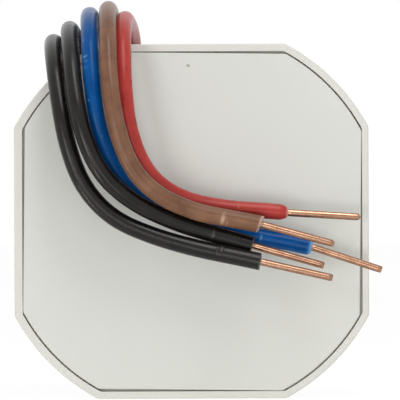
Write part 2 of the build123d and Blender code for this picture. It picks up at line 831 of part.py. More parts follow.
def build():
    os.makedirs("parts", exist_ok=True)
    nodes = {
        "case": case(), "rear_cover": rear_cover(), "rating_label": rating_label(),
        "circuit_board": circuit_board(), "solder_joints": solder_joints(), "lead_seal": lead_seal(),
        "relay_cover": relay_cover(), "relay_base": relay_base(), "relay_bobbin": relay_bobbin(),
        "relay_winding": relay_winding(), "relay_core": relay_core(), "relay_yoke": relay_yoke(),
        "relay_armature": relay_armature(), "armature_spring": armature_spring(),
        "actuator_card": actuator_card(), "contact_leaf": contact_leaf(),
        "moving_contact_rivet": moving_contact_rivet(), "fixed_contact_rivet": fixed_contact_rivet(),
        "moving_contact_terminal": moving_contact_terminal(),
        "fixed_contact_terminal": fixed_contact_terminal(), "coil_terminals": coil_terminals(),
        "film_capacitor": film_capacitor(), "electrolytic_can": electrolytic_can(),
        "electrolytic_bung": electrolytic_bung(), "bridge_rectifier": bridge_rectifier(),
        "fusible_resistor": fusible_resistor(), "zener_diode": zener_diode(), "varistor": varistor(),
        "driver_transistor": driver_transistor(), "component_wires": component_wires(),
        "microcontroller": microcontroller(), "microcontroller_legs": microcontroller_legs(),
        "chip_resistors": small_chips(1, resistor_chip_height, False),
        "chip_capacitors": small_chips(-1, capacitor_chip_height, False),
        "chip_end_caps": chip_end_caps(),
    }
    for name in lead_names:
        nodes[f"lead_{name}"] = lead_sleeve(name)
        nodes[f"lead_root_{name}"] = lead_root(name)
        nodes[f"conductor_{name}"] = conductor(name)
    for name, shape in nodes.items():
        write(name, shape)
    print(f"case depth {case_depth:.2f}, cover turned {cover_twist:.2f} degrees")
    print(f"armature pivot x {pivot_u:.3f} y {board_front + pivot_h:.3f} z {relay_middle:.3f},"
          f" opens {degrees(open_angle):.3f} degrees")
    print(f"card travel {card_travel:.4f}, per radian {card_travel / open_angle:.4f}")
    print(f"leaf foot x {leaf_u:.3f} y {board_front + leaf_foot:.3f}, turns {degrees(leaf_angle):.3f}"
          f" degrees, ratio {leaf_angle / open_angle:.4f}, contact gap {contact_gap:.3f}")


build()
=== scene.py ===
import math

import bpy
import numpy as np
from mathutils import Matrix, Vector


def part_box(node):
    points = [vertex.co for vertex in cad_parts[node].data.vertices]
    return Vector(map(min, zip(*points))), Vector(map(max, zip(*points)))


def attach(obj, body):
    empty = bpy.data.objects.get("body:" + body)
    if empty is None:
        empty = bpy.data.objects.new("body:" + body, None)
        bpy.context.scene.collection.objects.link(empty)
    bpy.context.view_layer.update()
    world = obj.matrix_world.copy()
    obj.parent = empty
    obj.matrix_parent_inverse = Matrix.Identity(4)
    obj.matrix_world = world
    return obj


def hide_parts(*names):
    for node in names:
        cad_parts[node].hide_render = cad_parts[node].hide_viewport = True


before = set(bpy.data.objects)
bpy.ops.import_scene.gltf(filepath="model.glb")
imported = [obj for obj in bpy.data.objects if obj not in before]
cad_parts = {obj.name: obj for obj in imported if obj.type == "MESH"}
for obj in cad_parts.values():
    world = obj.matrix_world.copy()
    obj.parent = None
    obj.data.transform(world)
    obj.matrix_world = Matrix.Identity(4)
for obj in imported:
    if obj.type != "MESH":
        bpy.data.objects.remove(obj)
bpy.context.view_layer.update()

# The viewpoint: a long lens 0.6 m in front of the cover, square on to it, with the least tilt.
# The optical axis meets the cover a little right of and above its middle.
cover_plane = -0.0105
lens_distance = 0.600
pixels_per_radian = 4341
image_side = 400
camera_data = bpy.data.cameras.new("camera")
camera_data.sensor_width = 36.0
camera_data.lens = camera_data.sensor_width * pixels_per_radian / image_side
camera_data.clip_start = 0.05
camera_data.clip_end = 20.0
camera = bpy.data.objects.new("camera", camera_data)
camera.location = (0.00118, cover_plane - lens_distance, 0.02744)
camera.rotation_euler = (math.radians(90), math.radians(0.25), 0)
bpy.context.scene.collection.objects.link(camera)
bpy.context.scene.camera = camera
bpy.context.scene.view_settings.view_transform = "Standard"

# The leads: five solid-core wires, each bent by hand up from the opening behind, over the top edge
# and down across the cover. These are the points of their routes, in metres, from the opening to
# the stripped end.
lead_routes = {
    "black_1": [
        (-0.0177, 0.0105, 0.0305), (-0.0177, 0.0161, 0.0305), (-0.0178, 0.0206, 0.0344),
        (-0.0181, 0.0214, 0.0404), (-0.0185, 0.0180, 0.0458), (-0.0189, 0.0111, 0.0490),
        (-0.0192, 0.0028, 0.0498), (-0.0193, -0.0056, 0.0495), (-0.0188, -0.0134, 0.0464),
        (-0.0180, -0.0175, 0.0408), (-0.0169, -0.0183, 0.0348), (-0.0148, -0.0177, 0.0292),
        (-0.0108, -0.0172, 0.0249), (-0.0050, -0.0171, 0.0224), (0.0011, -0.0172, 0.0207),
        (0.0061, -0.0173, 0.0197), (0.0095, -0.0173, 0.01894)],
    "black_2": [
        (-0.01515, 0.0105, 0.0305), (-0.01515, 0.0164, 0.0305), (-0.0153, 0.0210, 0.0346),
        (-0.0156, 0.0218, 0.0410), (-0.0160, 0.0186, 0.0469), (-0.0165, 0.0118, 0.0504),
        (-0.0169, 0.0032, 0.0515), (-0.0170, -0.0058, 0.0514), (-0.0165, -0.0142, 0.0482),
        (-0.0159, -0.0189, 0.0422), (-0.0147, -0.0200, 0.0361), (-0.0122, -0.0194, 0.0308),
        (-0.0080, -0.0184, 0.0271), (-0.0026, -0.0171, 0.0245), (0.0033, -0.0162, 0.0226),
        (0.0085, -0.01575, 0.02112)],
    "blue": [
        (-0.0126, 0.0105, 0.0305), (-0.0126, 0.0167, 0.0305), (-0.0127, 0.0213, 0.0349),
        (-0.0130, 0.0221, 0.0417), (-0.0134, 0.0192, 0.0482), (-0.0138, 0.0124, 0.0523),
        (-0.0141, 0.0034, 0.0535), (-0.0142, -0.0061, 0.0533), (-0.0139, -0.0140, 0.0501),
        (-0.0136, -0.0176, 0.0438), (-0.0127, -0.0180, 0.0371), (-0.0105, -0.0168, 0.0315),
        (-0.0068, -0.0153, 0.0274), (-0.0012, -0.0142, 0.0247), (0.0046, -0.0137, 0.0234),
        (0.0100, -0.0137, 0.0222), (0.0136, -0.0137, 0.02156), (0.0166, -0.0137, 0.02088)],
    "brown": [
        (-0.01005, 0.0105, 0.0305), (-0.01005, 0.0167, 0.0305), (-0.0102, 0.0213, 0.0350),
        (-0.0105, 0.0221, 0.0418), (-0.0109, 0.0191, 0.0485), (-0.0113, 0.0123, 0.0529),
        (-0.0114, 0.0033, 0.0542), (-0.0116, -0.0063, 0.0542), (-0.0114, -0.0150, 0.0510),
        (-0.0112, -0.0196, 0.0443), (-0.0103, -0.0206, 0.0377), (-0.0084, -0.0199, 0.0321),
        (-0.0050, -0.0189, 0.0283), (0.0001, -0.0181, 0.0259), (0.0040, -0.0176, 0.0251),
        (0.0068, -0.0173, 0.0246), (0.0098, -0.0171, 0.02399)],
    "red": [
        (-0.0075, 0.0105, 0.0305), (-0.0075, 0.0166, 0.0305), (-0.0077, 0.0212, 0.0347),
        (-0.0079, 0.0220, 0.0412), (-0.0082, 0.0189, 0.0474), (-0.0085, 0.0121, 0.0514),
        (-0.0089, 0.0032, 0.0525), (-0.0093, -0.0061, 0.0529), (-0.0094, -0.0140, 0.0500),
        (-0.0093, -0.0175, 0.0436), (-0.0086, -0.0177, 0.0369), (-0.0063, -0.0166, 0.0312),
        (-0.0023, -0.0153, 0.0279), (0.0030, -0.0145, 0.0264), (0.0092, -0.0143, 0.02602),
        (0.01325, -0.0143, 0.02564)],
}
lead_radius = 0.0012
bore_radius = 0.00054


def centreline(name, route):
    """The smooth line of a lead, read from a NURBS spline with the route as its control points."""
    data = bpy.data.curves.new(name, "CURVE")
    data.dimensions = "3D"
    data.resolution_u = 24
    spline = data.splines.new("NURBS")
    spline.points.add(len(route) - 1)
    for point, place in zip(spline.points, route):
        point.co = (*place, 1.0)
    spline.order_u = 3
    spline.use_endpoint_u = True
    holder = bpy.data.objects.new(name, data)
    bpy.context.scene.collection.objects.link(holder)
    graph = bpy.context.evaluated_depsgraph_get()
    mesh = bpy.data.meshes.new_from_object(holder.evaluated_get(graph))
    line = np.array([vertex.co for vertex in mesh.vertices])
    bpy.data.objects.remove(holder)
    bpy.data.curves.remove(data)
    bpy.data.meshes.remove(mesh)
    return line


def travelled(line):
    """The distance along a line to each of its points."""
    return np.concatenate([[0.0], np.cumsum(np.linalg.norm(np.diff(line, axis=0), axis=1))])


def carried_along(line):
    """Three directions at each point: along the line, and two across it that never twist."""
    along = np.gradient(line, axis=0)
    along /= np.linalg.norm(along, axis=1)[:, None]
    side = np.cross(along[0], (0.0, 0.0, 1.0))
    if np.linalg.norm(side) < 0.1:
        side = np.cross(along[0], (1.0, 0.0, 0.0))
    sides = []
    for direction in along:
        side = side - direction * (side @ direction)
        side = side / np.linalg.norm(side)
        sides.append(side)
    sides = np.array(sides)
    return along, sides, np.cross(along, sides)


def thickened(line, distances):
    """The line with extra points at these distances from its start, for detail finer than its own."""
    own = travelled(line)
    places = np.unique(np.concatenate([own, np.clip(distances, 0.0, own[-1])]).round(8))
    return np.stack([np.interp(places, own, line[:, axis]) for axis in range(3)], axis=1)


def skin(name, rings, closed_round, lengths, turns):
    """A mesh over rings of points. closed_round joins the last ring back to the first one."""
    count, around = rings.shape[:2]
    faces, charts = [], []
    for i in range(count if closed_round else count - 1):
        j = (i + 1) % count
        for k in range(around):
            m = (k + 1) % around
            faces.append((i * around + k, i * around + m, j * around + m, j * around + k))
            high = turns[k + 1]
            charts += [(lengths[i], turns[k]), (lengths[i], high), (lengths[j], high), (lengths[j], turns[k])]
    if not closed_round:
        for i, order in ((0, 1), (count - 1, -1)):
            faces.append(tuple(i * around + k for k in range(around))[::-order])
            charts += [(lengths[i], turns[k]) for k in range(around)][::-order]
    mesh = bpy.data.meshes.new(name)
    mesh.from_pydata(rings.reshape(-1, 3).tolist(), [], faces)
    chart = mesh.uv_layers.new(name="along")
    chart.data.foreach_set("uv", np.array(charts, dtype=float).ravel())
    mesh.validate()
    mesh.update()
    mesh.shade_smooth()
    mesh.set_sharp_from_angle(angle=math.radians(38))
    piece = bpy.data.objects.new(name, mesh)
    bpy.context.scene.collection.objects.link(piece)
    return piece


# The insulation: soft PVC extruded round the core, so it shows long faint die lines and a broad soft
# sheen. Each end is as the stripping pliers left it: tapered on the red lead, rounded on the blue
# one, cut slanting on the brown one and ragged on the black ones, with jaw marks a little before.
lead_around = 44
lead_ends = {
    "black_1": dict(taper=0.10, taper_length=0.18, neck=0.0, neck_length=1.0, slant=(0.10, 0.0, -0.10),
                    ragged=0.10, pale=0.16, seed=3),
    "black_2": dict(taper=0.12, taper_length=0.20, neck=0.0, neck_length=1.0, slant=(-0.06, 0.12, 0.05),
                    ragged=0.12, pale=0.12, seed=8),
    "blue": dict(taper=0.40, taper_length=0.62, neck=0.0, neck_length=1.0, slant=(0.0, 0.05, 0.0),
                 ragged=0.015, pale=0.42, seed=5),
    "brown": dict(taper=0.05, taper_length=0.10, neck=0.0, neck_length=1.0, slant=(0.0, 0.26, 0.30),
                  ragged=0.04, pale=0.36, seed=2),
    "red": dict(taper=0.60, taper_length=1.10, neck=0.11, neck_length=8.0, slant=(0.0, 0.0, 0.0),
                ragged=0.02, pale=0.18, seed=6),
}
# Marks on each lead: distance from its start, direction that it faces, half length and half width
# along and across, depth, and how pale the plastic is painted there, partly the scuffed plastic's own
# whitening and partly a painted glint of light on the scuff. The lengths are in millimetres.
lead_marks = {
    "black_1": [
        (95.7, (0.0, -0.8, 0.6), 0.22, 0.55, 0.09, 0.6),
        (95.1, (0.0, -1.0, 0.2), 0.12, 0.40, 0.05, 0.4)],
    "black_2": [
        (95.2, (0.0, -1.0, 0.1), 0.20, 0.55, 0.10, 0.6),
        (94.6, (0.0, -0.7, 0.7), 0.12, 0.30, 0.05, 0.4)],
    "blue": [
        (102.9, (0.0, -1.0, -0.1), 0.16, 0.40, 0.06, 0.5),
        (61.2, (-0.8, -0.6, 0.4), 0.30, 0.12, 0.05, 0.7),
        (63.9, (-0.7, -0.7, 0.2), 0.16, 0.40, 0.06, 0.8),
        (64.6, (-0.5, -0.8, 0.1), 0.10, 0.30, 0.05, 0.9),
        (65.5, (-0.6, -0.8, 0.0), 0.14, 0.30, 0.06, 0.8),
        (69.9, (-0.6, -0.8, 0.0), 0.10, 0.14, 0.05, 0.6),
        (74.8, (0.1, -1.0, 0.0), 0.10, 0.12, 0.04, 0.5)],
    "brown": [
        (96.9, (0.0, -0.9, -0.3), 0.24, 0.80, 0.06, 0.75),
        (97.5, (0.0, -0.8, -0.6), 0.13, 0.42, 0.07, 0.3)],
    "red": [
        (93.0, (0.0, -0.9, 0.4), 0.15, 0.40, 0.04, 0.4)],
}
# The extruder's slow swelling, and how far each cut's unevenness reaches, all in millimetres.
swelling = 0.006
swelling_length = 3.1
neck_blend = 0.5
ragged_share = 0.4
outer_reach = 0.5
inner_reach = 0.25
inner_share = 0.55
inner_set_back = 0.03
lip_place, lip_width, lip_share = 1.6, 0.6, 0.3


def sleeve_line(name):
    """A lead's centreline, with points close together at its marks and at its stripped end."""
    line = centreline(f"route_{name}", lead_routes[name])
    total = travelled(line)[-1]
    extra = [total - np.array([0.0, 0.02, 0.05, 0.1, 0.16, 0.24, 0.34, 0.46, 0.6, 0.8, 1.05]) / 1000]
    for place, facing, half_length, half_width, depth, _ in lead_marks[name]:
        extra.append(np.linspace(place - 3 * half_length, place + 3 * half_length, 17) / 1000)
    return thickened(line, np.concatenate(extra))


def insulation(name):
    """The sleeve of one lead outside the case, open from end to end for its core."""
    line = sleeve_line(name)
    along, across, up = carried_along(line)
    reached = travelled(line)
    left = (reached[-1] - reached) * 1000
    end = lead_ends[name]
    shape = np.random.default_rng(end["seed"])
    angles = np.linspace(0, 2 * math.pi, lead_around, endpoint=False)
    spread = (np.cos(angles)[None, :, None] * across[:, None] + np.sin(angles)[None, :, None] * up[:, None])
    radii = np.full((len(line), lead_around), lead_radius * 1000)
    radii += swelling * np.sin(reached * 1000 / swelling_length + end["seed"])[:, None]
    radii -= end["neck"] * (1 / (1 + np.exp((left - end["neck_length"]) / neck_blend)))[:, None]
    inward = np.clip(1 - left / end["taper_length"], 0, 1)
    radii -= end["taper"] * (1 - np.sqrt(np.clip(1 - inward ** 2, 0, 1)) * 0.6 - 0.4 * (1 - inward))[:, None]
    pale = np.exp(-(left / end["pale"]) ** 2)[:, None] * np.ones(lead_around)
    # Each mark's paleness is partly the scuffed plastic's own and partly a painted glint of light.
    for place, facing, half_length, half_width, depth, paleness_and_glint in lead_marks[name]:
        facing = np.array(facing) / np.linalg.norm(facing)
        aside = np.arccos(np.clip(spread @ facing, -1, 1)) * lead_radius * 1000
        ahead = (reached * 1000 - place)[:, None]
        hollow = np.exp(-(ahead / half_length) ** 2 - (aside / half_width) ** 2)
        beyond = (np.abs(ahead) - lip_place * half_length) / half_length / lip_width
        lip = np.exp(-beyond ** 2 - (aside / half_width) ** 2)
        radii -= depth * hollow - lip_share * depth * lip
        pale = np.maximum(pale, paleness_and_glint * hollow)
    outer = line[:, None] + spread * radii[:, :, None] / 1000
    inner = line[:, None] + spread * bore_radius
    ragged = sum(shape.uniform(-1, 1) * np.cos(k * angles + shape.uniform(0, 6.28)) for k in (2, 3, 5, 8, 11))
    push = ragged * end["ragged"] * ragged_share + spread[-1] @ np.array(end["slant"])
    push = push - push.max()
    near = np.exp(-(left / outer_reach) ** 2)[:, None, None]
    outer = outer + near * push[None, :, None] * along[:, None] / 1000
    near_inside = np.exp(-(left / inner_reach) ** 2)[:, None, None]
    drawn_in = inner_share * push[None, :, None] - inner_set_back
    inner = inner + near_inside * drawn_in * along[:, None] / 1000
    rings = np.concatenate([outer, inner[::-1]])
    lengths = np.concatenate([reached, reached[::-1]])
    turns = np.linspace(0, 1, lead_around + 1)
    piece = skin(f"insulation_{name}", rings, True, lengths, turns)
    pale = np.concatenate([pale, pale[::-1]])
    # The cut attribute holds the pale cut ends and the marks' paleness, which is partly a painted glint.
    mark = piece.data.attributes.new("cut", "FLOAT", "POINT")
    mark.data.foreach_set("value", pale.ravel())
    return piece, line


def paint(code):
    """A colour written as sRGB hex, as the linear colour that shaders take."""
    parts = [int(code[i:i + 2], 16) / 255 for i in (1, 3, 5)]
    return (*[p / 12.92 if p <= 0.04045 else ((p + 0.055) / 1.055) ** 2.4 for p in parts], 1.0)


def add(tree, kind, inputs=None, **settings):
    """Add a node with its settings. An input takes a value, or another node's output to link."""
    node = tree.nodes.new(kind)
    for name, value in settings.items():
        setattr(node, name, value)
    for socket, value in (inputs or {}).items():
        if isinstance(value, bpy.types.NodeSocket):
            tree.links.new(value, node.inputs[socket])
        else:
            node.inputs[socket].default_value = value
    return node


def blank_material(name):
    """A new material with only its surface shader and output, and its node tree."""
    material = bpy.data.materials.new(name)
    material.use_nodes = True
    tree = material.node_tree
    tree.nodes.clear()
    shader = add(tree, "ShaderNodeBsdfPrincipled")
    output = add(tree, "ShaderNodeOutputMaterial", {"Surface": shader.outputs["BSDF"]})
    output.location = (300, 0)
    return material, tree, shader


def pvc_insulation(name, body, worn, cut, roughness, shine, bloom):
    """Extruded PVC: faint lighter streaks and die lines along the lead, pale where it was cut, painted
    pale at its marks partly as glints of light on the scuffs, and a thin bloom of plasticiser that pales
    it where it turns away."""
    material, tree, shader = blank_material(name)
    place = add(tree, "ShaderNodeTexCoord")
    clouds = add(tree, "ShaderNodeTexNoise", {"Vector": place.outputs["Object"], "Scale": 420.0,
                                              "Detail": 3.0})
    # Streaks about 12 mm long and 0.5 mm wide: the map runs along the lead in metres, then once round it.
    drawn = add(tree, "ShaderNodeMapping", {"Vector": place.outputs["UV"], "Scale": (85.0, 15.0, 1.0)})
    streaks = add(tree, "ShaderNodeTexNoise", {"Vector": drawn.outputs["Vector"], "Scale": 1.0,
                                               "Detail": 2.0})
    uneven = add(tree, "ShaderNodeMath", {0: streaks.outputs["Fac"], 1: 0.7, 2: clouds.outputs["Fac"]},
                 operation="MULTIPLY_ADD")
    share = add(tree, "ShaderNodeMapRange", {0: uneven.outputs[0], 1: 0.62, 2: 1.08})
    cloud_mix = add(tree, "ShaderNodeMix", {0: share.outputs[0], 6: paint(body), 7: paint(worn)},
                    data_type="RGBA")
    # Pale cut ends, and at the marks partly a painted glint of light.
    pale_and_glint = add(tree, "ShaderNodeAttribute", attribute_name="cut")
    coloured = add(tree, "ShaderNodeMix", {0: pale_and_glint.outputs["Fac"], 6: cloud_mix.outputs[2], 7: paint(cut)},
                   data_type="RGBA")
    stretched = add(tree, "ShaderNodeMapping", {"Vector": place.outputs["UV"], "Scale": (60.0, 22.0, 1.0)})
    die_lines = add(tree, "ShaderNodeTexNoise", {"Vector": stretched.outputs["Vector"], "Scale": 1.0,
                                                 "Detail": 2.0})
    speckle = add(tree, "ShaderNodeTexNoise", {"Vector": place.outputs["Object"], "Scale": 5200.0,
                                               "Detail": 2.0})
    relief = add(tree, "ShaderNodeMath", {0: die_lines.outputs["Fac"], 1: 1.6, 2: speckle.outputs["Fac"]},
                 operation="MULTIPLY_ADD")
    bump = add(tree, "ShaderNodeBump", {"Height": relief.outputs[0], "Strength": 0.30, "Distance": 0.000016})
    gloss = add(tree, "ShaderNodeMapRange", {0: clouds.outputs["Fac"], 1: 0.3, 2: 0.7, 3: roughness - 0.05,
                                             4: roughness + 0.07})
    tree.links.new(coloured.outputs[2], shader.inputs["Base Color"])
    tree.links.new(gloss.outputs[0], shader.inputs["Roughness"])
    tree.links.new(bump.outputs["Normal"], shader.inputs["Normal"])
    shader.inputs["Specular IOR Level"].default_value = shine
    shader.inputs["Sheen Weight"].default_value = bloom
    shader.inputs["Sheen Roughness"].default_value = 0.30
    return material


insulation_looks = {
    "black": pvc_insulation("black_pvc", "#0f0d0b", "#191715", "#5a5550", 0.25, 0.26, 0.05),
    "blue": pvc_insulation("blue_pvc", "#004584", "#035296", "#6fb0e6", 0.24, 0.12, 0.30),
    "brown": pvc_insulation("brown_pvc", "#6a4733", "#855f48", "#c8ab97", 0.30, 0.24, 0.08),
    "red": pvc_insulation("red_pvc", "#a42b25", "#b53d36", "#de9791", 0.30, 0.26, 0.08),
}

# The cores: drawn soft copper wire, bright where it was bared, with fine drawing lines along it and
# the two slanting faces of a cutter at the tip.
wire_radius = 0.00049
bare_length = 0.010
board_pin_end = -0.0088
wire_around = 28
# How far the bare ends slope down and lean towards the cover, in degrees.
bare_slope = {"black_1": 12.9, "black_2": 15.9, "blue": 18.3, "brown": 15.2, "red": 3.7}
bare_lean = {"black_1": 2.2, "black_2": 1.5, "blue": 0.0, "brown": 2.0, "red": 2.0}
# The way that the cutter closed on each wire.
pinch = {"black_1": (0.1, -0.9, 0.5), "black_2": (0.0, -1.0, 0.3), "blue": (0.0, -0.9, -0.4),
         "brown": (0.0, -0.7, 0.7), "red": (0.0, -0.3, 1.0)}
# The points close to the tip, the dent where the pliers met the wire, and the cutter's flats: how far
# back each reaches, how steeply, and the share of the wire that it takes. The lengths are in mm.
tip_distances = (0.5, 0.4, 0.32, 0.25, 0.19, 0.14, 0.09, 0.05, 0.02, 0.0)
dent_depth, dent_reach = 0.035, 0.12
short_flat, short_curve, short_share = 0.34, 1.3, 0.80
long_flat, long_curve, long_share = 0.9, 2, 0.06


def core(name, sleeve):
    """One copper core, from its solder joint on the board to the cut tip."""
    start = np.array(lead_routes[name][0])
    begin = start.copy()
    begin[1] = board_pin_end
    slope, lean = math.radians(bare_slope[name]), math.radians(bare_lean[name])
    heading = np.array([math.cos(lean) * math.cos(slope), math.sin(lean), -math.cos(lean) * math.sin(slope)])
    bare = [sleeve[-1] + heading * bare_length * step for step in np.linspace(0.02, 0.93, 40)]
    tip = [sleeve[-1] + heading * (bare_length - back / 1000) for back in tip_distances]
    inside = [begin + (start - begin) * step for step in np.linspace(0, 0.98, 12)]
    line = np.array(inside + list(sleeve) + bare + tip)
    along, across, up = carried_along(line)
    reached = travelled(line)
    left = (reached[-1] - reached) * 1000
    angles = np.linspace(0, 2 * math.pi, wire_around, endpoint=False)
    spread = np.cos(angles)[None, :, None] * across[:, None] + np.sin(angles)[None, :, None] * up[:, None]
    radii = np.full(len(line), wire_radius * 1000)
    bared = (reached[-1] - bare_length - reached) * 1000
    radii -= dent_depth * np.exp(-(bared / dent_reach) ** 2)
    squeeze = np.array(pinch[name]) / np.linalg.norm(pinch[name])
    flat = np.clip(1 - left / short_flat, 0, 1) ** short_curve * short_share
    flat += np.clip(1 - left / long_flat, 0, 1) ** long_curve * long_share
    offset = (spread @ squeeze)[:, :, None] * squeeze * radii[:, None, None]
    rings = line[:, None] * 1000 + spread * radii[:, None, None] - flat[:, None, None] * offset
    turns = np.linspace(0, 1, wire_around + 1)
    return skin(f"core_{name}", rings / 1000, False, reached, turns)


def drawn_copper():
    """Bare copper: metallic, warm, a little tarnished in streaks that run with the drawing lines."""
    material, tree, shader = blank_material("drawn_copper")
    place = add(tree, "ShaderNodeTexCoord")
    streaks = add(tree, "ShaderNodeMapping", {"Vector": place.outputs["UV"], "Scale": (260.0, 9.0, 1.0)})
    lines = add(tree, "ShaderNodeTexNoise", {"Vector": streaks.outputs["Vector"], "Scale": 1.0,
                                             "Detail": 3.0})
    blotches = add(tree, "ShaderNodeTexNoise", {"Vector": place.outputs["Object"], "Scale": 900.0,
                                                "Detail": 2.0})
    tarnish = add(tree, "ShaderNodeMath", {0: lines.outputs["Fac"], 1: blotches.outputs["Fac"]},
                  operation="MULTIPLY")
    colour = add(tree, "ShaderNodeMapRange", {0: tarnish.outputs[0], 1: 0.12, 2: 0.42, 3: 0.0, 4: 1.0})
    mixed = add(tree, "ShaderNodeMix", {0: colour.outputs[0], 6: paint("#a9836c"), 7: paint("#8b6751")},
                data_type="RGBA")
    gloss = add(tree, "ShaderNodeMapRange", {0: tarnish.outputs[0], 1: 0.12, 2: 0.42, 3: 0.18, 4: 0.28})
    fine = add(tree, "ShaderNodeMapping", {"Vector": place.outputs["UV"], "Scale": (120.0, 26.0, 1.0)})
    scratches = add(tree, "ShaderNodeTexNoise", {"Vector": fine.outputs["Vector"], "Scale": 1.0,
                                                 "Detail": 4.0})
    bump = add(tree, "ShaderNodeBump", {"Height": scratches.outputs["Fac"], "Strength": 0.5,
                                        "Distance": 0.000004})
    tree.links.new(mixed.outputs[2], shader.inputs["Base Color"])
    tree.links.new(gloss.outputs[0], shader.inputs["Roughness"])
    tree.links.new(bump.outputs["Normal"], shader.inputs["Normal"])
    shader.inputs["Metallic"].default_value = 1.0
    return material


copper = drawn_copper()
for lead in lead_routes:
    sleeve, line = insulation(lead)
    wire = core(lead, line)
    sleeve.data.materials.append(insulation_looks[lead.split("_")[0]])
    wire.data.materials.append(copper)
    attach(sleeve, "base")
    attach(wire, "base")
    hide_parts(f"lead_{lead}")
    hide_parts(f"conductor_{lead}")
    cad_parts[f"lead_root_{lead}"].data.materials.clear()
    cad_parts[f"lead_root_{lead}"].data.materials.append(insulation_looks[lead.split("_")[0]])


# The case: light grey ABS, injection moulded in a tool with a fine spark-eroded texture, which gives
# it a dull even face with a very fine grain and the faintest clouding.
def moulded_plastic(name, light, dark, grain_mm, depth_mm, roughness):
    """Moulded thermoplastic with a grain of this width and depth, clouded between two close colours."""
    material, tree, shader = blank_material(name)
    place = add(tree, "ShaderNodeTexCoord")
    clouds = add(tree, "ShaderNodeTexNoise", {"Vector": place.outputs["Object"], "Scale": 70.0,
                                              "Detail": 4.0})
    mixed = add(tree, "ShaderNodeMix", {0: clouds.outputs["Fac"], 6: paint(light), 7: paint(dark)},
                data_type="RGBA")
    grain = add(tree, "ShaderNodeTexNoise", {"Vector": place.outputs["Object"], "Scale": 1000 / grain_mm,
                                             "Detail": 2.0, "Roughness": 0.6})
    bump = add(tree, "ShaderNodeBump", {"Height": grain.outputs["Fac"], "Strength": 0.5,
                                        "Distance": depth_mm / 1000})
    gloss = add(tree, "ShaderNodeMapRange", {0: clouds.outputs["Fac"], 1: 0.3, 2: 0.7, 3: roughness - 0.04,
                                             4: roughness + 0.04})
    tree.links.new(mixed.outputs[2], shader.inputs["Base Color"])
    tree.links.new(gloss.outputs[0], shader.inputs["Roughness"])
    tree.links.new(bump.outputs["Normal"], shader.inputs["Normal"])
    shader.inputs["IOR"].default_value = 1.53
    return material


def finish_node(material, *names):
    """Give CAD nodes their material."""
    for name in names:
        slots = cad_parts[name].data.materials
        slots.clear()
        slots.append(material)


finish_node(moulded_plastic("case_abs", "#d9d8d1", "#d5d4cd", 0.16, 0.012, 0.48), "case")

# The cover: the same ABS from another tool, snapped into the back of the case. The torn stub of its
# moulding gate shows as a small dark speck near the top edge.
finish_node(moulded_plastic("cover_abs", "#d6d7d1", "#d2d3cd", 0.14, 0.010, 0.50), "rear_cover")
gate_place = (-0.00038, 0.04603)
gate_steps = [(0.00, 0.012), (0.07, 0.014), (0.11, 0.030), (0.15, 0.036), (0.19, 0.022), (0.22, 0.004),
              (0.23, -0.020)]
gate_around = 24
gate_angles = np.linspace(0, 2 * math.pi, gate_around, endpoint=False)
gate_torn = 1 + 0.12 * np.cos(2 * gate_angles + 0.7) + 0.08 * np.cos(3 * gate_angles)
gate_rings = np.array([[(gate_place[0] + max(reach, 0.004) * torn * math.cos(a) / 1000,
                         cover_plane - height / 1000,
                         gate_place[1] + max(reach, 0.004) * torn * math.sin(a) / 1000)
                        for a, torn in zip(gate_angles, gate_torn)] for reach, height in gate_steps])
gate = skin("gate_stub", gate_rings[:, ::-1], False, np.linspace(0, 0.0004, len(gate_steps)),
            np.linspace(0, 1, gate_around + 1))
gate.data.materials.append(moulded_plastic("torn_abs", "#96948d", "#b2b0a9", 0.12, 0.030, 0.62))
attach(gate, "base")

# The sealant: a bead of white silicone run in behind the opening, which holds the five leads. It
# cures smooth and rubbery, with a soft shine and shallow waves.
finish_node(moulded_plastic("silicone_sealant", "#dddcd6", "#d2d1ca", 0.9, 0.050, 0.40), "lead_seal")

# The label: silver-grey polyester film on the front wall, die cut and stuck into its shallow recess,
# and left blank. It has a soft metallic shine with a grain that runs along it.
film, tree, shader = blank_material("silver_polyester_film")
place = add(tree, "ShaderNodeTexCoord")
# Grain streaks about 4 mm long and 0.1 mm wide.
streaked = add(tree, "ShaderNodeMapping", {"Vector": place.outputs["Object"],
                                           "Scale": (250.0, 1000.0, 10000.0)})
streaks = add(tree, "ShaderNodeTexNoise", {"Vector": streaked.outputs["Vector"], "Scale": 1.0, "Detail": 3.0})
tone = add(tree, "ShaderNodeMix", {0: streaks.outputs["Fac"], 6: paint("#d3d5d4"), 7: paint("#c3c6c6")},
           data_type="RGBA")
dull = add(tree, "ShaderNodeMapRange", {0: streaks.outputs["Fac"], 1: 0.3, 2: 0.7, 3: 0.32, 4: 0.44})
relief = add(tree, "ShaderNodeBump", {"Height": streaks.outputs["Fac"], "Strength": 0.3,
                                      "Distance": 0.000008})
tree.links.new(tone.outputs[2], shader.inputs["Base Color"])
tree.links.new(dull.outputs[0], shader.inputs["Roughness"])
tree.links.new(relief.outputs["Normal"], shader.inputs["Normal"])
shader.inputs["Metallic"].default_value = 0.55
finish_node(film, "rating_label")

# The circuit board: glass-cloth laminate under green solder mask, routed to the shape of the case.
# Copper areas under the mask look lighter, with dark gaps between them, and the cloth shows faintly.
board, tree, shader = blank_material("green_solder_mask")
place = add(tree, "ShaderNodeTexCoord")
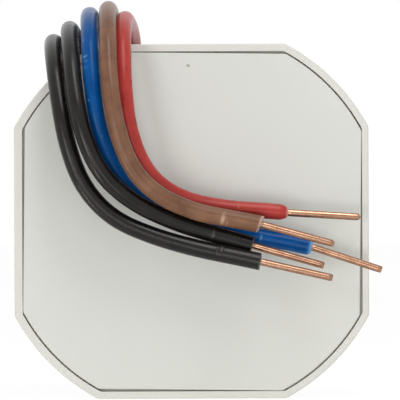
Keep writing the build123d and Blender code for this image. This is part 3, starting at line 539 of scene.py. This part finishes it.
# Copper areas about 6 mm across with gaps of 0.4 mm.
areas = add(tree, "ShaderNodeMapping", {"Vector": place.outputs["Object"], "Scale": (167.0, 0.0, 167.0)})
borders = add(tree, "ShaderNodeTexVoronoi", {"Vector": areas.outputs["Vector"], "Scale": 1.0},
              feature="DISTANCE_TO_EDGE", distance="MANHATTAN")
copper_area = add(tree, "ShaderNodeMapRange", {0: borders.outputs["Distance"], 1: 0.03, 2: 0.045})
clouds = add(tree, "ShaderNodeTexNoise", {"Vector": place.outputs["Object"], "Scale": 300.0, "Detail": 3.0})
masked = add(tree, "ShaderNodeMix", {0: copper_area.outputs[0], 6: paint("#12492a"), 7: paint("#1f6a3b")},
             data_type="RGBA")
clouded = add(tree, "ShaderNodeMix", {0: clouds.outputs["Fac"], 6: masked.outputs[2], 7: paint("#1a5a33")},
              data_type="RGBA")
# Glass cloth with 16 threads to the centimetre.
warp = add(tree, "ShaderNodeTexWave", {"Vector": place.outputs["Object"], "Scale": 253.0},
           bands_direction="X")
weft = add(tree, "ShaderNodeTexWave", {"Vector": place.outputs["Object"], "Scale": 253.0},
           bands_direction="Z")
cloth = add(tree, "ShaderNodeMath", {0: warp.outputs["Fac"], 1: weft.outputs["Fac"]}, operation="ADD")
raised = add(tree, "ShaderNodeMath", {0: copper_area.outputs[0], 1: 4.0, 2: cloth.outputs[0]},
             operation="MULTIPLY_ADD")
relief = add(tree, "ShaderNodeBump", {"Height": raised.outputs[0], "Strength": 0.6, "Distance": 0.000008})
dull = add(tree, "ShaderNodeMapRange", {0: clouds.outputs["Fac"], 1: 0.3, 2: 0.7, 3: 0.26, 4: 0.36})
tree.links.new(clouded.outputs[2], shader.inputs["Base Color"])
tree.links.new(dull.outputs[0], shader.inputs["Roughness"])
tree.links.new(relief.outputs["Normal"], shader.inputs["Normal"])
finish_node(board, "circuit_board")


# The solder joints: tin-copper solder that ran up each pin in a cone and froze bright, with a fine
# grey grain where it cooled last.
def worn_metal(name, bright, dull, patch_mm, scratch_mm, roughness):
    """Metal with duller patches of this size over its bright tone, and fine scratches in its gloss."""
    material, tree, shader = blank_material(name)
    place = add(tree, "ShaderNodeTexCoord")
    patches = add(tree, "ShaderNodeTexNoise", {"Vector": place.outputs["Object"], "Scale": 1000 / patch_mm,
                                               "Detail": 3.0})
    spread = add(tree, "ShaderNodeMapRange", {0: patches.outputs["Fac"], 1: 0.35, 2: 0.65})
    tone = add(tree, "ShaderNodeMix", {0: spread.outputs[0], 6: paint(bright), 7: paint(dull)},
               data_type="RGBA")
    gloss = add(tree, "ShaderNodeMapRange", {0: patches.outputs["Fac"], 1: 0.3, 2: 0.7, 3: roughness - 0.06,
                                             4: roughness + 0.08})
    rubbed = add(tree, "ShaderNodeMapping", {"Vector": place.outputs["Object"], "Scale": (0.2, 1.0, 1.0)})
    scratches = add(tree, "ShaderNodeTexNoise", {"Vector": rubbed.outputs["Vector"],
                                                 "Scale": 1000 / scratch_mm, "Detail": 4.0})
    relief = add(tree, "ShaderNodeBump", {"Height": scratches.outputs["Fac"], "Strength": 0.4,
                                          "Distance": 0.000004})
    tree.links.new(tone.outputs[2], shader.inputs["Base Color"])
    tree.links.new(gloss.outputs[0], shader.inputs["Roughness"])
    tree.links.new(relief.outputs["Normal"], shader.inputs["Normal"])
    shader.inputs["Metallic"].default_value = 1.0
    return material


finish_node(worn_metal("tin_solder", "#d6d6d1", "#b4b4af", 0.5, 0.08, 0.24), "solder_joints", "chip_end_caps")

# The relay's housing: a black polyester cap pushed over the relay and glued to its base. Its sides
# are moulded smooth, with a slight orange peel and a clear gloss.
finish_node(moulded_plastic("black_pbt", "#161618", "#1c1c1f", 0.45, 0.008, 0.28), "relay_cover")

# The relay's inner mouldings: the base that carries everything, the coil's bobbin and the card that
# slides between armature and contact leaf, all in ivory glass-filled polyester.
finish_node(moulded_plastic("ivory_pbt", "#e3ddcd", "#d9d2c1", 0.25, 0.015, 0.45),
            "relay_base", "relay_bobbin", "actuator_card")

# The coil: enamelled copper wire wound in layers on the bobbin. The real wire is about 0.07 mm thick,
# too fine to show, so the turns of its top layer are drawn 0.22 mm thick on a smooth sleeve.
coil_low, coil_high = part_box("relay_winding")
turn_width = 0.00022
coil_reach = (coil_high[2] - coil_low[2]) / 2
coil_bore = 0.00232
coil_y, coil_z = (coil_low[1] + coil_high[1]) / 2, (coil_low[2] + coil_high[2]) / 2
turn_count = int((coil_high[0] - coil_low[0]) / turn_width)
turn_spacing = (coil_high[0] - coil_low[0] - turn_width) / (turn_count - 1)

enamelled, tree, shader = blank_material("enamelled_copper")
place = add(tree, "ShaderNodeTexCoord")
# Turns differ a little in tone every few wires, over a length of about 2 mm.
turned = add(tree, "ShaderNodeMapping", {"Vector": place.outputs["Object"], "Scale": (2500.0, 500.0, 500.0)})
tones = add(tree, "ShaderNodeTexNoise", {"Vector": turned.outputs["Vector"], "Scale": 1.0, "Detail": 2.0})
tone = add(tree, "ShaderNodeMix", {0: tones.outputs["Fac"], 6: paint("#b9683a"), 7: paint("#8f4522")},
           data_type="RGBA")
dull = add(tree, "ShaderNodeMapRange", {0: tones.outputs["Fac"], 1: 0.3, 2: 0.7, 3: 0.26, 4: 0.38})
relief = add(tree, "ShaderNodeBump", {"Height": tones.outputs["Fac"], "Strength": 0.2, "Distance": 0.00001})
tree.links.new(tone.outputs[2], shader.inputs["Base Color"])
tree.links.new(dull.outputs[0], shader.inputs["Roughness"])
tree.links.new(relief.outputs["Normal"], shader.inputs["Normal"])
shader.inputs["Metallic"].default_value = 0.9
shader.inputs["Coat Weight"].default_value = 0.6
shader.inputs["Coat Roughness"].default_value = 0.12

coil_angles = np.linspace(0, 2 * math.pi, 48, endpoint=False)
coil_rings = np.array([[(x, coil_y - r * math.cos(a), coil_z + r * math.sin(a)) for a in coil_angles]
                       for x, r in ((coil_low[0], coil_reach - turn_width),
                                    (coil_high[0], coil_reach - turn_width),
                                    (coil_high[0], coil_bore), (coil_low[0], coil_bore))])
coil = skin("coil_turns", coil_rings, True, np.array([0.0, 0.0104, 0.0124, 0.0228]), np.linspace(0, 1, 49))

winding = bpy.data.node_groups.new("wire_turns", "GeometryNodeTree")
winding.is_modifier = True
for name, kind in (("Sleeve", "Geometry"), ("Turns", "Int"), ("Turn spacing", "Float"),
                   ("Coil radius", "Float"), ("Wire radius", "Float"), ("First turn", "Vector"),
                   ("Wire", "Material")):
    winding.interface.new_socket(name=name, in_out="INPUT", socket_type="NodeSocket" + kind)
winding.interface.new_socket(name="Geometry", in_out="OUTPUT", socket_type="NodeSocketGeometry")
given = add(winding, "NodeGroupInput")
step = add(winding, "ShaderNodeCombineXYZ", {"X": given.outputs["Turn spacing"]})
row = add(winding, "GeometryNodeMeshLine", {"Count": given.outputs["Turns"], "Offset": step.outputs[0],
                                            "Start Location": given.outputs["First turn"]}, mode="OFFSET")
ring = add(winding, "GeometryNodeCurvePrimitiveCircle", {"Resolution": 48,
                                                         "Radius": given.outputs["Coil radius"]})
section = add(winding, "GeometryNodeCurvePrimitiveCircle", {"Resolution": 8,
                                                            "Radius": given.outputs["Wire radius"]})
turn = add(winding, "GeometryNodeCurveToMesh", {"Curve": ring.outputs["Curve"],
                                                "Profile Curve": section.outputs["Curve"]})
wound = add(winding, "GeometryNodeInstanceOnPoints", {"Points": row.outputs["Mesh"],
                                                      "Instance": turn.outputs["Mesh"],
                                                      "Rotation": (0.0, math.pi / 2, 0.0)})
together = add(winding, "GeometryNodeJoinGeometry", {"Geometry": wound.outputs["Instances"]})
winding.links.new(given.outputs["Sleeve"], together.inputs["Geometry"])
real = add(winding, "GeometryNodeRealizeInstances", {"Geometry": together.outputs["Geometry"]})
finished = add(winding, "GeometryNodeSetMaterial", {"Geometry": real.outputs["Geometry"],
                                                    "Material": given.outputs["Wire"]})
add(winding, "NodeGroupOutput", {"Geometry": finished.outputs["Geometry"]})
modifier = coil.modifiers.new("turns", "NODES")
modifier.node_group = winding
sizes = {"Turns": turn_count, "Turn spacing": turn_spacing, "Coil radius": coil_reach - turn_width / 2,
         "Wire radius": turn_width / 2, "First turn": (coil_low[0] + turn_width / 2, coil_y, coil_z),
         "Wire": enamelled}
for socket in winding.interface.items_tree:
    if socket.in_out == "INPUT" and socket.name in sizes:
        modifier[socket.identifier] = sizes[socket.name]
coil.update_tag()
wound_mesh = bpy.data.meshes.new_from_object(coil.evaluated_get(bpy.context.evaluated_depsgraph_get()))
coil.modifiers.remove(modifier)
coil.data = wound_mesh
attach(coil, "base")
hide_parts("relay_winding")

# The magnet's iron: core, yoke and armature, pressed from soft iron and plated with nickel. It is
# grey and fairly bright, with a slightly uneven plate.
finish_node(worn_metal("nickel_plated_iron", "#bdbcb8", "#a3a29d", 1.6, 0.05, 0.30),
            "relay_core", "relay_yoke", "relay_armature")

# The springs: the armature's return spring and the contact leaf, stamped from thin bronze strip that
# keeps the lines of the rolling mill.
finish_node(worn_metal("rolled_bronze", "#c99a68", "#b07f50", 1.2, 0.04, 0.26),
            "armature_spring", "contact_leaf")

# The contacts: silver alloy rivets with domed heads, upset through the leaf and the terminal, a
# little yellowed on the heads.
finish_node(worn_metal("silver_alloy", "#dedbd3", "#c9c2b2", 0.6, 0.06, 0.20),
            "moving_contact_rivet", "fixed_contact_rivet")

# Pins and wires: tinned brass terminals of the relay, and the tinned copper wires of the parts on
# the board. Hot-dip tin is pale and soft-bright, with dull patches.
finish_node(worn_metal("tinned_brass", "#cfcdc6", "#b3b1aa", 0.8, 0.05, 0.30), "moving_contact_terminal",
            "fixed_contact_terminal", "coil_terminals", "component_wires", "microcontroller_legs")

# The film capacitor: a yellow polyester box filled with epoxy, which drops the mains voltage for the
# supply. Its faces are spark-eroded matt.
finish_node(moulded_plastic("yellow_pbt", "#d9b935", "#cfae2c", 0.20, 0.012, 0.46), "film_capacitor")

# The electrolytic capacitor: a drawn aluminium can in a dark shrunk sleeve with a pale stripe, its
# bare end scored with a cross, on a black rubber bung.
can_low, can_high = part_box("electrolytic_can")
can_centre = [(low + high) / 2 for low, high in zip(can_low, can_high)]
sleeved, tree, shader = blank_material("shrunk_pvc_and_aluminium")
place = add(tree, "ShaderNodeTexCoord")
centred = add(tree, "ShaderNodeVectorMath",
              {0: place.outputs["Object"], 1: (can_centre[0], 0.0, can_centre[2])}, operation="SUBTRACT")
parts = add(tree, "ShaderNodeSeparateXYZ", {0: centred.outputs[0]})
flat = add(tree, "ShaderNodeVectorMath", {0: centred.outputs[0], 1: (1.0, 0.0, 1.0)}, operation="MULTIPLY")
reach = add(tree, "ShaderNodeVectorMath", {0: flat.outputs[0]}, operation="LENGTH")
inside = add(tree, "ShaderNodeMath", {0: reach.outputs["Value"], 1: 0.0034}, operation="LESS_THAN")
high_up = add(tree, "ShaderNodeMath", {0: parts.outputs["Y"], 1: can_high[1] - 0.0002},
              operation="GREATER_THAN")
bare_end = add(tree, "ShaderNodeMath", {0: inside.outputs[0], 1: high_up.outputs[0]}, operation="MULTIPLY")
stripe = add(tree, "ShaderNodeMath", {0: parts.outputs["X"], 1: -0.0035}, operation="LESS_THAN")
clouds = add(tree, "ShaderNodeTexNoise", {"Vector": place.outputs["Object"], "Scale": 500.0, "Detail": 3.0})
sleeve_tone = add(tree, "ShaderNodeMix", {0: clouds.outputs["Fac"], 6: paint("#16181f"), 7: paint("#20232c")},
                  data_type="RGBA")
striped = add(tree, "ShaderNodeMix", {0: stripe.outputs[0], 6: sleeve_tone.outputs[2], 7: paint("#a9adb3")},
              data_type="RGBA")
tone = add(tree, "ShaderNodeMix", {0: bare_end.outputs[0], 6: striped.outputs[2], 7: paint("#cfd0cf")},
           data_type="RGBA")
dull = add(tree, "ShaderNodeMapRange", {0: clouds.outputs["Fac"], 1: 0.3, 2: 0.7, 3: 0.24, 4: 0.34})
# The score lines are 0.25 mm wide.
across = add(tree, "ShaderNodeMath", {0: parts.outputs["X"]}, operation="ABSOLUTE")
upward = add(tree, "ShaderNodeMath", {0: parts.outputs["Z"]}, operation="ABSOLUTE")
nearest = add(tree, "ShaderNodeMath", {0: across.outputs[0], 1: upward.outputs[0]}, operation="MINIMUM")
score = add(tree, "ShaderNodeMapRange", {0: nearest.outputs[0], 1: 0.00004, 2: 0.000125})
scored = add(tree, "ShaderNodeMath", {0: score.outputs[0], 1: bare_end.outputs[0]}, operation="MULTIPLY")
relief = add(tree, "ShaderNodeBump", {"Height": scored.outputs[0], "Strength": 0.8, "Distance": 0.00006})
tree.links.new(tone.outputs[2], shader.inputs["Base Color"])
tree.links.new(bare_end.outputs[0], shader.inputs["Metallic"])
tree.links.new(dull.outputs[0], shader.inputs["Roughness"])
tree.links.new(relief.outputs["Normal"], shader.inputs["Normal"])
finish_node(sleeved, "electrolytic_can")
finish_node(moulded_plastic("black_rubber", "#1b1b1a", "#232322", 0.30, 0.020, 0.60), "electrolytic_bung")

# The moulded semiconductors: bridge rectifier, driver transistor and microcontroller, in black
# epoxy pressed round their leads, dull with a fine grain.
finish_node(moulded_plastic("black_epoxy", "#1b1b1d", "#242426", 0.12, 0.014, 0.52),
            "bridge_rectifier", "driver_transistor", "microcontroller")

# The fusible resistor: wire on a ceramic rod under a grey-green flameproof coat, which is brushed on
# and baked, so it is matt and slightly lumpy.
finish_node(moulded_plastic("flameproof_coat", "#7f9690", "#6f8881", 0.60, 0.050, 0.58), "fusible_resistor")

# The varistor: a zinc oxide disc dipped in blue epoxy, glossy with a gentle orange peel.
finish_node(moulded_plastic("dipped_blue_epoxy", "#2f5f9e", "#28558f", 0.70, 0.040, 0.26), "varistor")

# The zener diode: a die sealed in orange glass, with a black band painted round its cathode end.
diode_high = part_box("zener_diode")[1]
glass, tree, shader = blank_material("orange_diode_glass")
place = add(tree, "ShaderNodeTexCoord")
parts = add(tree, "ShaderNodeSeparateXYZ", {0: place.outputs["Object"]})
# The band is 0.6 mm wide.
above = add(tree, "ShaderNodeMath", {0: parts.outputs["Z"], 1: diode_high[2] - 0.0013},
            operation="GREATER_THAN")
below = add(tree, "ShaderNodeMath", {0: parts.outputs["Z"], 1: diode_high[2] - 0.0007},
            operation="LESS_THAN")
band = add(tree, "ShaderNodeMath", {0: above.outputs[0], 1: below.outputs[0]}, operation="MULTIPLY")
clouds = add(tree, "ShaderNodeTexNoise", {"Vector": place.outputs["Object"], "Scale": 900.0, "Detail": 2.0})
warm = add(tree, "ShaderNodeMix", {0: clouds.outputs["Fac"], 6: paint("#b4552a"), 7: paint("#8e3d1c")},
           data_type="RGBA")
tone = add(tree, "ShaderNodeMix", {0: band.outputs[0], 6: warm.outputs[2], 7: paint("#141414")},
           data_type="RGBA")
dull = add(tree, "ShaderNodeMapRange", {0: clouds.outputs["Fac"], 1: 0.3, 2: 0.7, 3: 0.08, 4: 0.16})
tree.links.new(tone.outputs[2], shader.inputs["Base Color"])
tree.links.new(dull.outputs[0], shader.inputs["Roughness"])
shader.inputs["IOR"].default_value = 1.52
finish_node(glass, "zener_diode")

# The chip parts: tan ceramic capacitors and resistors with a black glaze, both sawn from fired
# sheets and soldered down by their tinned ends.
finish_node(moulded_plastic("tan_ceramic", "#a08a6c", "#937d60", 0.10, 0.006, 0.40), "chip_capacitors")
finish_node(moulded_plastic("black_glaze", "#17171a", "#202023", 0.20, 0.004, 0.22), "chip_resistors")

# Light: a soft lamp to the left of the camera and a little below it, which throws the leads' shadows
# to the right and slightly upwards, a weaker one on the right, two tall panels overhead and in front
# for the bright lines along the copper, a small warm lamp low on the left for the thin glints along
# the leads, and a bright even room. Each lamp has its name, colour, watts, width, height and distance
# in metres, and the direction that it stands in.
lamp_target = Vector((0.0, cover_plane, 0.0245))
for name, colour, power, width, height, distance, away in (
        ("softbox", (1, 1, 1), 0.70, 0.17, 0.24, 0.55,
         (-math.sin(math.radians(27)), -math.cos(math.radians(27)), -math.tan(math.radians(9)))),
        ("fill", (1, 1, 1), 0.15, 0.24, 0.24, 0.55,
         (math.sin(math.radians(36)), -math.cos(math.radians(36)), -math.tan(math.radians(26)))),
        ("overhead", (1, 1, 1), 0.40, 0.10, 0.24, 0.30, (0.16, -0.46, 1.0)),
        ("front", (1, 1, 1), 0.22, 0.05, 0.24, 0.50, (-0.02, -1.0, -0.24)),
        ("low_left", (1.0, 0.92, 0.78), 0.26, 0.06, 0.06, 0.50, (-0.80, -0.42, -0.72))):
    lamp_data = bpy.data.lights.new(name, "AREA")
    lamp_data.shape = "RECTANGLE"
    lamp_data.size = width
    lamp_data.size_y = height
    lamp_data.energy = power
    lamp_data.color = colour
    lamp = bpy.data.objects.new(name, lamp_data)
    lamp.visible_camera = False
    lamp.location = lamp_target + Vector(away).normalized() * distance
    lamp.rotation_mode = "QUATERNION"
    lamp.rotation_quaternion = (lamp_target - lamp.location).to_track_quat("-Z", "Y")
    bpy.context.scene.collection.objects.link(lamp)

world = bpy.data.worlds.new("room")
bpy.context.scene.world = world
world.use_nodes = True
world.node_tree.nodes.clear()
ray = add(world.node_tree, "ShaderNodeLightPath")
seen = add(world.node_tree, "ShaderNodeMath",
           {0: ray.outputs["Is Camera Ray"], 1: ray.outputs["Is Glossy Ray"]}, operation="MAXIMUM")
clear = add(world.node_tree, "ShaderNodeMath", {0: seen.outputs[0], 1: ray.outputs["Is Transmission Ray"]},
            operation="MAXIMUM")
room = add(world.node_tree, "ShaderNodeBackground", {"Color": (1, 1, 1, 1), "Strength": 0.46})
white = add(world.node_tree, "ShaderNodeBackground", {"Color": (1, 1, 1, 1), "Strength": 1.0})
both = add(world.node_tree, "ShaderNodeMixShader",
           {0: clear.outputs[0], 1: room.outputs[0], 2: white.outputs[0]})
add(world.node_tree, "ShaderNodeOutputWorld", {"Surface": both.outputs[0]})

# The floor: a plain pale sheet that the relay stands on, nearly white to the camera, with its shadow.
floor_mesh = bpy.data.meshes.new("floor")
floor_mesh.from_pydata([(-2, -2, 0), (2, -2, 0), (2, 2, 0), (-2, 2, 0)], [], [(0, 1, 2, 3)])
floor = bpy.data.objects.new("floor", floor_mesh)
bpy.context.scene.collection.objects.link(floor)
floor.visible_shadow = False
floor.visible_glossy = False
pale_sheet = bpy.data.materials.new("pale_sheet")
pale_sheet.use_nodes = True
pale_sheet.node_tree.nodes.clear()
ray = add(pale_sheet.node_tree, "ShaderNodeLightPath")
matt = add(pale_sheet.node_tree, "ShaderNodeBsdfDiffuse", {"Color": paint("#f2f2f0")})
glow = add(pale_sheet.node_tree, "ShaderNodeEmission", {"Color": (1, 1, 1, 1), "Strength": 1.05})
share = add(pale_sheet.node_tree, "ShaderNodeMath", {0: ray.outputs["Is Camera Ray"], 1: 0.90},
            operation="MULTIPLY")
blended = add(pale_sheet.node_tree, "ShaderNodeMixShader", {0: share.outputs[0], 1: matt.outputs[0],
                                                           2: glow.outputs[0]})
add(pale_sheet.node_tree, "ShaderNodeOutputMaterial", {"Surface": blended.outputs[0]})
floor_mesh.materials.append(pale_sheet)
